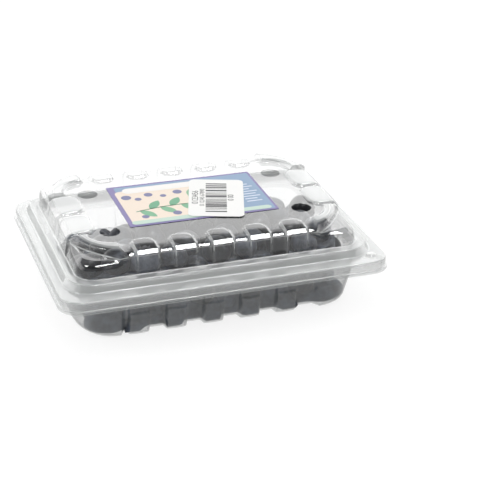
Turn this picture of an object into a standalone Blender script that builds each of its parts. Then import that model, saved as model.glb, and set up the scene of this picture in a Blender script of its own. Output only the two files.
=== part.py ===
"""A clear hinged punnet of blueberries, shut: tray, lid, berries, label and price sticker.

The two halves are sheets of clear plastic drawn over a mould, so each is built as one: rings
of points follow the moulded outline from the middle of the sheet to its edge, the strips
between them make an open surface, and a Solidify modifier gives the sheet its thickness.

X runs along the punnet, -Y is its front, Z is up.  The origin is on the table, under the
middle of the whole.  Lengths are in millimetres until a point is made, then in metres.
"""
import bpy
import bmesh
import math
import random
from mathutils import Matrix, Vector

MM = 0.001

# ---------------------------------------------------------------- driving dimensions (mm)
SHEET = 0.5              # thickness of the clear sheet
RIM_X = 70.9             # flange edge, left and right
RIM_FRONT = 53.4         # flange edge at the front
RIM_BACK = 51.3          # flange edge at the back, along the hinge
BODY_X, BODY_Y = -0.4, 0.8   # middle of the raised body: its flange is wider in front
BODY_LONG, BODY_DEEP = 60.2, 41.5   # half sizes of the lid's body over its ribs

JOIN_Z = 20.05           # where the lid's flange meets the tray's
LIP_Z = 24.6             # upper side of the lid's lip
RIM_LEDGE_Z = 27.8       # narrow ledge that the lid's wall stands on
STEP_Z = 35.4            # crescent step round each corner of the lid
PANEL_Z = 37.2           # flat top that carries the label
RIB_Z = 38.4             # top of the lid's ribs
RIDGE_Z = (38.0, 39.2)   # corner ridges, front and back

LID_CORNER = (41.8, 19.6)     # where the straight sides end and the corners begin
TRAY_CORNER = (41.6, 18.0)
CORNER_POINTS = 8

LONG_RIBS, LONG_PITCH = 5, 16.0
SHORT_RIBS, SHORT_PITCH = 2, 19.7
LID_LONG_RIB = (5.5, 4.3)     # half width of a rib at its foot and at its crown
LID_SHORT_RIB = (8.8, 7.8)
TRAY_LONG_RIB = (4.9, 3.9)
TRAY_SHORT_RIB = (7.2, 6.0)
TRAY_RIB_SHIFT = -4.0         # the tray's long ribs are out of step with the lid's

VENT_X, VENT_Y, VENT_RADIUS = 42.1, 19.3, 4.3
BUTTON_RADIUS, BUTTON_HEIGHT = 2.3, 0.9
BUTTON_CENTRE = (62.8, -46.4)

LABEL_SIZE = (65.6, 41.2)
LABEL_CENTRE = (-0.6, 3.5)
STICKER_SIZE = (23.8, 38.2)
STICKER_CENTRE = (9.7, 0.7)
STICKER_TURN = -18.0          # degrees
PAPER = 0.2
GAP = 0.3                     # air between pieces that lie on each other

HINGE_Y = 52.5
FOLD_RADIUS, FOLD_LENGTH = 0.9, 96.0

HEAP_POINTS = 64              # points round the heap of berries
HEAP_TOP_RINGS = 10
BERRY = 13.4                  # diameter of a middling berry

FRONT, RIGHT, BACK, LEFT = range(4)


# ---------------------------------------------------------------- scene and materials
def clear_scene():
    for thing in list(bpy.data.objects):
        bpy.data.objects.remove(thing, do_unlink=True)


def new_collection(name):
    group = bpy.data.collections.new(name)
    bpy.context.scene.collection.children.link(group)
    return group


def material(name, colour, roughness, alpha=1.0):
    result = bpy.data.materials.new(name)
    result.use_nodes = True
    shader = result.node_tree.nodes["Principled BSDF"]
    shader.inputs["Base Color"].default_value = (*colour, 1.0)
    shader.inputs["Roughness"].default_value = roughness
    shader.inputs["Metallic"].default_value = 0.0
    shader.inputs["Alpha"].default_value = alpha
    result.diffuse_color = (*colour, alpha)
    return result


def add_object(name, mesh, group, finish, location=(0.0, 0.0, 0.0)):
    thing = bpy.data.objects.new(name, mesh)
    thing.location = location
    if finish is not None:
        mesh.materials.append(finish)
    group.objects.link(thing)
    return thing


# ---------------------------------------------------------------- the moulded outline
def side_stations(side, ribs, pitch, half_widths, shift=0.0):
    """Points along one straight side: (side, distance along it, whether on a rib)."""
    foot, crown = half_widths
    along = []
    for index in range(ribs):
        middle = (index - (ribs - 1) / 2) * pitch + shift
        along += [(middle - foot, 0), (middle - crown, 1), (middle + crown, 1), (middle + foot, 0)]
    return [(side, distance, on_rib) for distance, on_rib in along]


def corner_stations(side):
    """Points round the corner that follows a side, by their number: (side, number, None)."""
    return [(side, number, None) for number in range(CORNER_POINTS)]


def plan(corner_start, long_rib, short_rib, shift=0.0):
    """Where the corners begin, and all points round the punnet, anticlockwise.

    Along the back and the left side the distance runs with the walk round, so the shift of
    the long ribs changes sign there and the ribs of both long sides stand face to face.
    """
    walk = []
    for side in (FRONT, RIGHT, BACK, LEFT):
        if side in (FRONT, BACK):
            sign = 1.0 if side == FRONT else -1.0
            walk += side_stations(side, LONG_RIBS, LONG_PITCH, long_rib, sign * shift)
        else:
            walk += side_stations(side, SHORT_RIBS, SHORT_PITCH, short_rib)
        walk += corner_stations(side)
    return corner_start, walk


def swept(power):
    """Corner that is swept back: power 1 cuts straight across it, power 2 is a round quarter."""
    def place(number, long_reach, deep_reach):
        angle = math.radians(90.0 * (number + 0.5) / CORNER_POINTS)
        across, up = math.cos(angle), math.sin(angle)
        size = ((across / long_reach) ** power + (up / deep_reach) ** power) ** (-1.0 / power)
        return across * size, up * size
    return place


def rounded(radius):
    """Square corner with a radius: its first and last points lie on the straight runs."""
    def place(number, long_reach, deep_reach):
        if number == 0:
            return long_reach, (deep_reach - radius) / 2
        if number == CORNER_POINTS - 1:
            return (long_reach - radius) / 2, deep_reach
        angle = math.radians(90.0 * (number - 1) / (CORNER_POINTS - 3))
        return (long_reach + radius * (math.cos(angle) - 1.0),
                deep_reach + radius * (math.sin(angle) - 1.0))
    return place


def ring(layout, reach, height, corner, rib_out=0.0, rib_up=0.0):
    """One closed row of points round the body's middle.

    reach is how far the four sides lie from the centre: (front, right, back, left).
    corner gives, for front corners and back corners, (set back along X, set back along Y,
    outline, height); one such group alone serves all four corners.
    """
    corner_start, walk = layout
    points = []
    for side, where, on_rib in walk:
        if on_rib is None:
            points.append(corner_point(side, where, corner_start, reach, height, corner))
            continue
        out = reach[side] + rib_out * on_rib
        rise = height + rib_up * on_rib
        flat = {FRONT: (where, -out), RIGHT: (out, where), BACK: (-where, out), LEFT: (-out, -where)}
        x, y = flat[side]
        points.append(Vector((BODY_X + x, BODY_Y + y, rise)) * MM)
    return points


def corner_point(side, number, corner_start, reach, height, corner):
    """Point of the corner that follows a side: front right, back right, back left, front left."""
    at_front = side in (FRONT, LEFT)
    at_right = side in (FRONT, RIGHT)
    long_reach = reach[RIGHT] if at_right else reach[LEFT]
    deep_reach = reach[FRONT] if at_front else reach[BACK]
    set_long, set_deep, outline, height = corner[0 if at_front else -1]
    # The front right and back left corners are walked from their deep side to their long one.
    if side in (FRONT, BACK):
        number = CORNER_POINTS - 1 - number
    across, up = outline(number, long_reach - set_long - corner_start[0],
                         deep_reach - set_deep - corner_start[1])
    x = (corner_start[0] + across) * (1 if at_right else -1)
    y = (corner_start[1] + up) * (-1 if at_front else 1)
    return Vector((BODY_X + x, BODY_Y + y, height)) * MM


def even(long_reach, deep_reach):
    return deep_reach, long_reach, deep_reach, long_reach


def rim(inset):
    """Reach of the flange's outline, measured from the middle of the body."""
    front = RIM_FRONT + BODY_Y - inset
    back = RIM_BACK - BODY_Y - inset
    return front, RIM_X - BODY_X - inset, back, RIM_X + BODY_X - inset


def drawn_sheet(name, rings, cap_first, cap_last):
    """Mesh of the strips between rings, with the first or the last ring closed flat."""
    shape = bmesh.new()
    rows = [[shape.verts.new(point) for point in row] for row in rings]
    count = len(rows[0])
    for inner, outer in zip(rows, rows[1:]):
        for index in range(count):
            after = (index + 1) % count
            shape.faces.new((inner[index], outer[index], outer[after], inner[after]))
    if cap_first:
        shape.faces.new(rows[0])
    if cap_last:
        shape.faces.new(list(reversed(rows[-1])))
    mesh = bpy.data.meshes.new(name)
    shape.to_mesh(mesh)
    shape.free()
    return mesh


def thicken(thing):
    """Gives a sheet its thickness, inwards; it thins at sharp bends, as drawn sheet does."""
    solid = thing.modifiers.new("sheet", "SOLIDIFY")
    solid.thickness = SHEET * MM
    solid.offset = -1.0
    solid.use_even_offset = False


# ---------------------------------------------------------------- lid
def level(outline, height, inset=0.0):
    """All four corners alike, at one height."""
    return ((inset, inset, outline, height),)


def lid_rings():
    walk = plan(LID_CORNER, LID_LONG_RIB, LID_SHORT_RIB)
    rib_rise = RIB_Z - PANEL_Z
    top_x, top_y = 47.6, 30.1      # inner ends of the ribs
    front_ridge, back_ridge = RIDGE_Z
    recess_x, recess_y = BODY_LONG - 1.2, BODY_DEEP - 1.2
    wall_foot, ledge, flange = RIM_LEDGE_Z, RIM_LEDGE_Z - 0.1, JOIN_Z + GAP / 2 + SHEET
    return [
        # edge of the flat top, and the same edge raised on ribs and corner ridges
        ring(walk, even(top_x - 0.6, top_y - 0.6), PANEL_Z,
             ((-4.4, -0.1, swept(2.0), PANEL_Z), (-5.2, -1.0, swept(2.0), PANEL_Z))),
        ring(walk, even(top_x, top_y), PANEL_Z,
             ((-4.4, -0.1, swept(2.0), front_ridge), (-5.2, -1.0, swept(2.0), back_ridge)),
             rib_up=rib_rise),
        # outer edge of the top, where it bends down
        ring(walk, even(recess_x - 1.3, recess_y - 1.3), PANEL_Z,
             ((2.8, 3.8, swept(1.7), front_ridge), (0.4, 0.0, swept(1.6), back_ridge)),
             rib_out=0.4, rib_up=rib_rise),
        ring(walk, even(recess_x, recess_y), PANEL_Z - 1.3,
             ((2.2, 3.0, swept(1.65), front_ridge - 0.9), (-0.4, -0.8, swept(1.6), back_ridge - 1.1)),
             rib_out=1.2, rib_up=rib_rise / 4),
        # foot of the corner ridges on the crescent step, and the outer edge of that step
        ring(walk, even(recess_x, recess_y), STEP_Z - 0.2,
             ((0.3, 0.3, swept(1.27), STEP_Z - 0.9), (-0.6, -0.6, swept(1.6), STEP_Z)), rib_out=1.2),
        ring(walk, even(recess_x, recess_y), STEP_Z - 0.8,
             ((-0.8, -0.8, rounded(7.5), STEP_Z - 1.9), (-0.8, -0.8, rounded(7.5), STEP_Z - 0.1)),
             rib_out=1.2),
        # the wall, down to the narrow ledge of the rim
        ring(walk, even(BODY_LONG + 0.1, BODY_DEEP - 0.2), wall_foot + 1.4,
             level(rounded(7.8), wall_foot + 1.4, -0.3), rib_out=0.6),
        ring(walk, even(BODY_LONG + 0.5, BODY_DEEP + 0.4), wall_foot, level(rounded(8.0), wall_foot)),
        ring(walk, even(BODY_LONG + 4.0, BODY_DEEP + 3.9), ledge, level(rounded(9.8), ledge)),
        # the slope of the rim, the lip, its skirt and the flange
        ring(walk, even(BODY_LONG + 5.9, BODY_DEEP + 5.7), LIP_Z, level(rounded(11.0), LIP_Z)),
        ring(walk, rim(0.9), LIP_Z, level(rounded(8.6), LIP_Z)),
        ring(walk, rim(0.8), flange, level(rounded(8.8), flange)),
        ring(walk, rim(0.0), flange, level(rounded(9.6), flange)),
    ]


def vent_cutter(group):
    """Four upright pins, one at each corner of the flat top."""
    shape = bmesh.new()
    for x_side in (-1, 1):
        for y_side in (-1, 1):
            middle = Vector((BODY_X + x_side * VENT_X, BODY_Y + y_side * VENT_Y, PANEL_Z)) * MM
            bmesh.ops.create_cone(shape, cap_ends=True, segments=20, radius1=VENT_RADIUS * MM,
                                  radius2=VENT_RADIUS * MM, depth=4.0 * MM,
                                  matrix=Matrix.Translation(middle))
    mesh = bpy.data.meshes.new("vent_pins")
    shape.to_mesh(mesh)
    shape.free()
    return hide_tool(add_object("vent_pins", mesh, group, None))


def button_tool(group):
    """The press button at the front right corner of the lip."""
    shape = bmesh.new()
    place = Matrix.Translation(Vector((*BUTTON_CENTRE, LIP_Z + BUTTON_HEIGHT / 2 - 0.1)) * MM)
    bmesh.ops.create_cone(shape, cap_ends=True, segments=16, radius1=BUTTON_RADIUS * MM,
                          radius2=(BUTTON_RADIUS - 0.5) * MM, depth=(BUTTON_HEIGHT + 0.2) * MM, matrix=place)
    mesh = bpy.data.meshes.new("button_cone")
    shape.to_mesh(mesh)
    shape.free()
    return hide_tool(add_object("button_cone", mesh, group, None))


def hide_tool(thing):
    thing.hide_render = True
    thing.display_type = "WIRE"
    return thing


def make_lid(group, tools, finish, hinge):
    mesh = drawn_sheet("lid", lid_rings(), cap_first=True, cap_last=False)
    lid = add_object("lid", mesh, group, finish)
    attach(lid, hinge)
    thicken(lid)
    cut = lid.modifiers.new("vents", "BOOLEAN")
    cut.operation = "DIFFERENCE"
    cut.object = vent_cutter(tools)
    grow = lid.modifiers.new("button", "BOOLEAN")
    grow.operation = "UNION"
    grow.object = button_tool(tools)
    return lid


# ---------------------------------------------------------------- tray
def tray_rings():
    walk = plan(TRAY_CORNER, TRAY_LONG_RIB, TRAY_SHORT_RIB, TRAY_RIB_SHIFT)
    flange = JOIN_Z - GAP / 2 - SHEET
    bead = RIM_LEDGE_Z - 1.6
    lip = LIP_Z - 1.6
    return [
        # the floor and the round bend up into the wall
        ring(walk, even(54.6, 37.4), 0.0, level(swept(2.5), 0.0, -3.2), rib_out=3.6),
        ring(walk, even(56.0, 38.6), 1.6, level(swept(2.6), 1.8, -4.0), rib_out=4.0),
        # the lower half of the ribs stands a little proud of the upper half
        ring(walk, even(58.6, 40.4), 10.2, level(swept(3.2), 10.2, -2.6), rib_out=2.6),
        ring(walk, even(58.8, 40.6), 10.9, level(swept(3.2), 10.9, -2.6), rib_out=1.7),
        ring(walk, even(61.0, 42.3), 18.0, level(swept(4.5), 18.0, -0.8), rib_out=0.9),
        # the inside of the rim's bead, its top, its slope, its lip and the flange
        ring(walk, even(61.8, 43.3), bead, level(rounded(8.2), bead)),
        ring(walk, even(63.0, 44.4), bead, level(rounded(9.0), bead)),
        ring(walk, even(65.2, 46.4), lip, level(rounded(10.6), lip)),
        ring(walk, rim(2.7), lip, level(rounded(7.0), lip)),
        ring(walk, rim(2.5), flange, level(rounded(7.2), flange)),
        ring(walk, rim(0.0), flange, level(rounded(9.6), flange)),
    ]


def make_tray(group, finish):
    # The rings run from the floor outwards and up, so the normals look out of the tray.
    mesh = drawn_sheet("tray", tray_rings(), cap_first=True, cap_last=False)
    mesh.flip_normals()
    tray = add_object("tray", mesh, group, finish)
    thicken(tray)
    return tray


# ---------------------------------------------------------------- berries
def ease(value):
    """Smooth step from 0 to 1."""
    held = min(max(value, 0.0), 1.0)
    return held * held * (3.0 - 2.0 * held)


def heap_height(x, y):
    """Height of the heap without its bumps: full at the front, sunk at the back and the right end."""
    sunk_back = 13.5 * ease((y + 8.0) / 38.0)
    sunk_ends = 6.0 * ease((x - 38.0) / 14.0) + 2.5 * ease((-x - 46.0) / 10.0)
    return 33.0 - sunk_back - sunk_ends


def berry_bumps():
    """Places of the berries that show on top, in a loose staggered layout."""
    chance = random.Random(12)
    row_step = BERRY * math.sqrt(3.0) / 2
    places = []
    for row in range(-4, 5):
        for column in range(-6, 7):
            x = (column + 0.5 * (row % 2)) * BERRY + chance.uniform(-1.5, 1.5)
            y = row * row_step + chance.uniform(-1.5, 1.5)
            places.append((x, y, chance.uniform(-0.8, 0.8)))
    return places


def bumpy_height(x, y, places):
    """The heap's height with the round back of the nearest berry on it."""
    radius = BERRY / 2
    distance, lift = min((math.hypot(x - px, y - py), rise) for px, py, rise in places)
    cap = math.sqrt(max(radius * radius - min(distance, radius * 0.9) ** 2, 0.0)) - radius * 0.6
    return min(heap_height(x, y) + lift + cap, 35.6)


def make_berries(group, finish):
    """One closed solid out to the uneven outline of the heap."""
    turns = [2.0 * math.pi * index / HEAP_POINTS for index in range(HEAP_POINTS)]
    places = berry_bumps()

    def outline(long_reach, deep_reach, power, height):
        row = []
        for turn in turns:
            across, up = math.cos(turn), math.sin(turn)
            size = ((abs(across) / long_reach) ** power + (abs(up) / deep_reach) ** power) ** (-1.0 / power)
            x, y = BODY_X + across * size, BODY_Y + up * size
            row.append(Vector((x, y, height if height is not None else bumpy_height(x, y, places))) * MM)
        return row

    rings = [outline(52.6, 35.6, 3.0, 0.8), outline(54.2, 37.0, 3.2, 2.6)]
    rings += [outline(57.0, 39.0, 3.6, 10.0), outline(58.6, 40.2, 4.0, 14.0)]
    shares = [1.0 - index / HEAP_TOP_RINGS for index in range(HEAP_TOP_RINGS)]
    rings += [outline(57.2 * share, 38.8 * share, 2.0 + 2.0 * share, None) for share in shares]
    mesh = drawn_sheet("berries", rings, cap_first=True, cap_last=True)
    mesh.flip_normals()
    return add_object("berries", mesh, group, finish)


# ---------------------------------------------------------------- print, sticker, hinge
def make_paper(name, group, finish, size, centre, turn, base, corner_radius, hinge):
    """A flat rectangle of paper or film with rounded corners."""
    shape = bmesh.new()
    half_x, half_y = size[0] / 2 - corner_radius, size[1] / 2 - corner_radius
    rim_points = []
    for quarter, (sx, sy) in enumerate(((1, 1), (-1, 1), (-1, -1), (1, -1))):
        for step in range(4):
            angle = math.radians(90.0 * quarter + 30.0 * step)
            rim_points.append((sx * half_x + corner_radius * math.cos(angle),
                               sy * half_y + corner_radius * math.sin(angle)))
    corners = [shape.verts.new(Vector((x, y, 0.0)) * MM) for x, y in rim_points]
    flat = shape.faces.new(corners)
    lifted = bmesh.ops.extrude_face_region(shape, geom=[flat])
    upper = [item for item in lifted["geom"] if isinstance(item, bmesh.types.BMVert)]
    bmesh.ops.translate(shape, verts=upper, vec=Vector((0.0, 0.0, PAPER * MM)))
    bmesh.ops.recalc_face_normals(shape, faces=shape.faces)
    spin = Matrix.Rotation(math.radians(turn), 4, "Z")
    place = Matrix.Translation(Vector((centre[0], centre[1], base)) * MM)
    bmesh.ops.transform(shape, matrix=place @ spin, verts=shape.verts)
    mesh = bpy.data.meshes.new(name)
    shape.to_mesh(mesh)
    shape.free()
    paper = add_object(name, mesh, group, finish)
    attach(paper, hinge)
    return paper


def attach(thing, hinge):
    """Hangs a piece on the hinge's empty and leaves it where it is."""
    thing.parent = hinge
    thing.matrix_parent_inverse = hinge.matrix_world.inverted()


def make_hinge_axis(group):
    axis = bpy.data.objects.new("lid_hinge_axis", None)
    axis.location = Vector((0.0, HINGE_Y, JOIN_Z)) * MM
    group.objects.link(axis)
    bpy.context.view_layer.update()
    return axis


def make_fold(group, finish):
    """The rolled fold that joins both flanges and on which the lid turns."""
    shape = bmesh.new()
    place = Matrix.Translation(Vector((0.0, HINGE_Y, JOIN_Z)) * MM) @ Matrix.Rotation(math.pi / 2, 4, "Y")
    bmesh.ops.create_cone(shape, cap_ends=True, segments=12, radius1=FOLD_RADIUS * MM,
                          radius2=FOLD_RADIUS * MM, depth=FOLD_LENGTH * MM, matrix=place)
    mesh = bpy.data.meshes.new("hinge_fold")
    shape.to_mesh(mesh)
    shape.free()
    return add_object("hinge_fold", mesh, group, finish)


def main():
    clear_scene()
    punnet = new_collection("blueberry_punnet")
    tools = new_collection("cutters")
    clear_plastic = material("clear_plastic", (0.80, 0.84, 0.84), 0.08, alpha=0.35)
    berry_skin = material("berry_skin", (0.03, 0.04, 0.07), 0.55)
    printed_film = material("printed_film", (0.10, 0.20, 0.42), 0.4)
    sticker_paper = material("sticker_paper", (0.88, 0.88, 0.86), 0.6)

    hinge = make_hinge_axis(punnet)
    make_tray(punnet, clear_plastic)
    make_berries(punnet, berry_skin)
    make_lid(punnet, tools, clear_plastic, hinge)
    label_base = PANEL_Z + GAP
    make_paper("label", punnet, printed_film, LABEL_SIZE, LABEL_CENTRE, 0.0, label_base, 1.2, hinge)
    sticker_base = label_base + PAPER + GAP
    make_paper("sticker", punnet, sticker_paper, STICKER_SIZE, STICKER_CENTRE, STICKER_TURN,
               sticker_base, 1.5, hinge)
    make_fold(punnet, clear_plastic)


main()
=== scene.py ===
# %% [markdown]
# # A punnet of blueberries
#
# A shut clear punnet is two thin sheets of plastic drawn over moulds, with fruit, a printed
# label and a price sticker.  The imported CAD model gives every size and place.  This lesson
# keeps those and makes the looks: softly rounded clear sheet, dusty fruit and crisp print.

# %% Load the frame
import math

import bpy
import numpy as np
from mathutils import Matrix, Vector


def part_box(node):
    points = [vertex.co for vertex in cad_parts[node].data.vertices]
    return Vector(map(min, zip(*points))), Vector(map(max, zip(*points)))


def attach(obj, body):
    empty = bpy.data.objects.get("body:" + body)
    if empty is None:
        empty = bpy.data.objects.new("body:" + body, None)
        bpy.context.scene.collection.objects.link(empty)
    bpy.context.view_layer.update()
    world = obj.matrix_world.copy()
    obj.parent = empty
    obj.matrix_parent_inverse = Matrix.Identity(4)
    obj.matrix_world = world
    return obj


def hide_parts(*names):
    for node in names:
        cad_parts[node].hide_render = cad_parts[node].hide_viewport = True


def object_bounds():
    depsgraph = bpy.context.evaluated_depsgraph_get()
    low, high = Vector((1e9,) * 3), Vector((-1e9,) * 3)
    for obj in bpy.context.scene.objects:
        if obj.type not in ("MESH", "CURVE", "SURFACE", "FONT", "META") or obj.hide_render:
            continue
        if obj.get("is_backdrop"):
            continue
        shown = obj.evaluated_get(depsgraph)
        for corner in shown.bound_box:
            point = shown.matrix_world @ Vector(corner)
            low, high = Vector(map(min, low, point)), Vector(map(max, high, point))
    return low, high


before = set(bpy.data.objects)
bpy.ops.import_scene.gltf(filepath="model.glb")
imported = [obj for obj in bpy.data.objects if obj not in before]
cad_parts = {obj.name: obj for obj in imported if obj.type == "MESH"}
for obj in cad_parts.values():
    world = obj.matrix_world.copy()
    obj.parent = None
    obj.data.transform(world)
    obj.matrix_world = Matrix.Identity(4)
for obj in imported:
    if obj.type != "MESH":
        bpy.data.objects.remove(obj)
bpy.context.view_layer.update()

# %% [markdown]
# ## Small helpers
#
# Blender's operators act on whatever is selected, so each step starts by deselecting all.
# Colours are written as the hex values that a picture editor shows, and one function turns
# them into the linear values that a shader wants.  Lengths below are in millimetres.

# %% Helpers for units, colours and selection
MM = 0.001


def deselect():
    bpy.ops.object.select_all(action="DESELECT")


def choose(*things):
    """Select only these objects, and make the first one active."""
    deselect()
    for thing in things:
        thing.select_set(True)
    bpy.context.view_layer.objects.active = things[0]


def colour(code):
    """Linear RGBA for an sRGB hex code such as #7e9ab8."""
    parts = [int(code[i:i + 2], 16) / 255 for i in (1, 3, 5)]
    linear = [p / 12.92 if p <= 0.04045 else ((p + 0.055) / 1.055) ** 2.4 for p in parts]
    return (*linear, 1.0)


def apply_modifiers(thing):
    """Apply a piece's modifiers from the top of the stack down."""
    choose(thing)
    for modifier in list(thing.modifiers):
        bpy.ops.object.modifier_apply(modifier=modifier.name)


def add_node(tree, kind, inputs=None, **settings):
    """Add one shader node, set its options, and set or link its inputs."""
    made = tree.nodes.new(kind)
    for key, value in settings.items():
        setattr(made, key, value)
    for key, value in (inputs or {}).items():
        if isinstance(value, bpy.types.NodeSocket):
            tree.links.new(value, made.inputs[key])
        else:
            made.inputs[key].default_value = value
    return made


def new_material(name):
    """An empty node material, its tree and its output node."""
    made = bpy.data.materials.new(name)
    made.use_nodes = True
    made.node_tree.nodes.clear()
    return made, made.node_tree, made.node_tree.nodes.new("ShaderNodeOutputMaterial")


def ease(value):
    """Smooth step from 0 to 1."""
    held = min(max(value, 0.0), 1.0)
    return held * held * (3.0 - 2.0 * held)


# %% [markdown]
# ## Camera
#
# The punnet is seen from the front, a little from its left and from above, through a long
# lens.  The camera's axes are worked out from its yaw, pitch and roll.

# %% Camera
def place_camera(position, yaw, pitch, roll, lens):
    yaw, pitch, roll = (math.radians(v) for v in (yaw, pitch, roll))
    ahead = Vector((math.sin(yaw) * math.cos(pitch), math.cos(yaw) * math.cos(pitch), -math.sin(pitch)))
    level = Vector((math.cos(yaw), -math.sin(yaw), 0.0))
    upward = level.cross(ahead)
    right = level * math.cos(roll) + upward * math.sin(roll)
    top = upward * math.cos(roll) - level * math.sin(roll)
    deselect()
    bpy.ops.object.camera_add(location=Vector(position) * MM)
    camera = bpy.context.object
    turn = Matrix((right, top, -ahead)).transposed()
    camera.rotation_euler = turn.to_euler()
    camera.data.lens = lens
    camera.data.sensor_width = 36.0
    camera.data.clip_start = 0.01
    bpy.context.scene.camera = camera
    return camera


camera = place_camera((-172.8, -539.8, 296.2), yaw=20.19, pitch=26.43, roll=1.6, lens=104.2)
print("camera at", [round(v, 3) for v in camera.location])

# %% [markdown]
# ## Floor, surroundings and light
#
# The pack stands on white under soft studio light.  Clear plastic shows only what it mirrors,
# so the surroundings matter: white low down all round, darker above and behind the camera,
# and a soft box up in front that draws the bright band along the upper edges of the lid.

# %% Floor
deselect()
bpy.ops.mesh.primitive_plane_add(size=6.0, location=(0.0, 0.0, -0.0002))
floor = bpy.context.object
floor.name = "studio_floor"
floor_paint, tree, out = new_material("white_light_table")
matt = add_node(tree, "ShaderNodeBsdfDiffuse", {"Color": colour("#f2f2f2")}).outputs[0]
seen = add_node(tree, "ShaderNodeLightPath").outputs["Is Camera Ray"]
glow = add_node(tree, "ShaderNodeMath", {0: seen, 1: 0.5, 2: 0.65}, operation="MULTIPLY_ADD").outputs[0]
lit = add_node(tree, "ShaderNodeEmission", {"Color": colour("#ffffff"), "Strength": glow}).outputs[0]
shader = add_node(tree, "ShaderNodeMixShader", {0: 0.3, 1: lit, 2: matt})
tree.links.new(shader.outputs[0], out.inputs["Surface"])
floor.data.materials.append(floor_paint)
floor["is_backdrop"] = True


# %% Surroundings
def studio_world():
    """A white backdrop behind and beside, grey overhead, and a dim room behind the camera."""
    world = bpy.data.worlds.new("studio")
    bpy.context.scene.world = world
    world.use_nodes = True
    tree = world.node_tree
    tree.nodes.clear()
    direction = add_node(tree, "ShaderNodeTexCoord").outputs["Generated"]
    parts = add_node(tree, "ShaderNodeSeparateXYZ", {0: direction}).outputs
    above = add_node(tree, "ShaderNodeMapRange", {"Value": parts["Z"], "From Min": 0.50, "From Max": 0.64,
                                                  "To Min": 1.9, "To Max": 0.3},
                     interpolation_type="SMOOTHSTEP").outputs[0]
    ahead = add_node(tree, "ShaderNodeMapRange", {"Value": parts["Y"], "From Min": -0.35, "From Max": 0.05,
                                                  "To Min": 0.15, "To Max": 1.0},
                     interpolation_type="SMOOTHSTEP").outputs[0]
    glow = add_node(tree, "ShaderNodeMath", {0: above, 1: ahead}, operation="MULTIPLY").outputs[0]
    sky = add_node(tree, "ShaderNodeBackground", {"Color": colour("#ffffff"), "Strength": glow})
    out = add_node(tree, "ShaderNodeOutputWorld")
    tree.links.new(sky.outputs[0], out.inputs["Surface"])


studio_world()


# %% Soft boxes
def soft_box(name, position, size, watts, mirrored=True, lights=True):
    """A rectangular lamp aimed at the pack; it can be only mirrored, or only give light."""
    deselect()
    bpy.ops.object.light_add(type="AREA", location=position)
    lamp = bpy.context.object
    lamp.name = name
    lamp.data.shape = "RECTANGLE"
    lamp.data.size, lamp.data.size_y = size
    lamp.data.energy = watts
    lamp.rotation_euler = (Vector(position) - Vector((0.0, 0.0, 0.03))).to_track_quat("Z", "Y").to_euler()
    lamp.visible_glossy = mirrored
    lamp.visible_diffuse = lights
    return lamp


soft_box("mirrored_strip", (0.24, -0.40, 0.98), (0.70, 0.30), 11.0, lights=False)
soft_box("left_glint", (-0.62, -0.06, 0.80), (0.22, 0.16), 1.6, lights=False)
soft_box("broad_fill", (-0.2, -0.3, 2.0), (4.0, 4.0), 50.0, mirrored=False)
soft_box("right_back_key", (1.1, 0.9, 0.9), (0.8, 0.8), 1.5, mirrored=False)
bpy.context.scene.view_settings.view_transform = "Standard"
bpy.context.scene.cycles.transparent_max_bounces = 40
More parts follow.
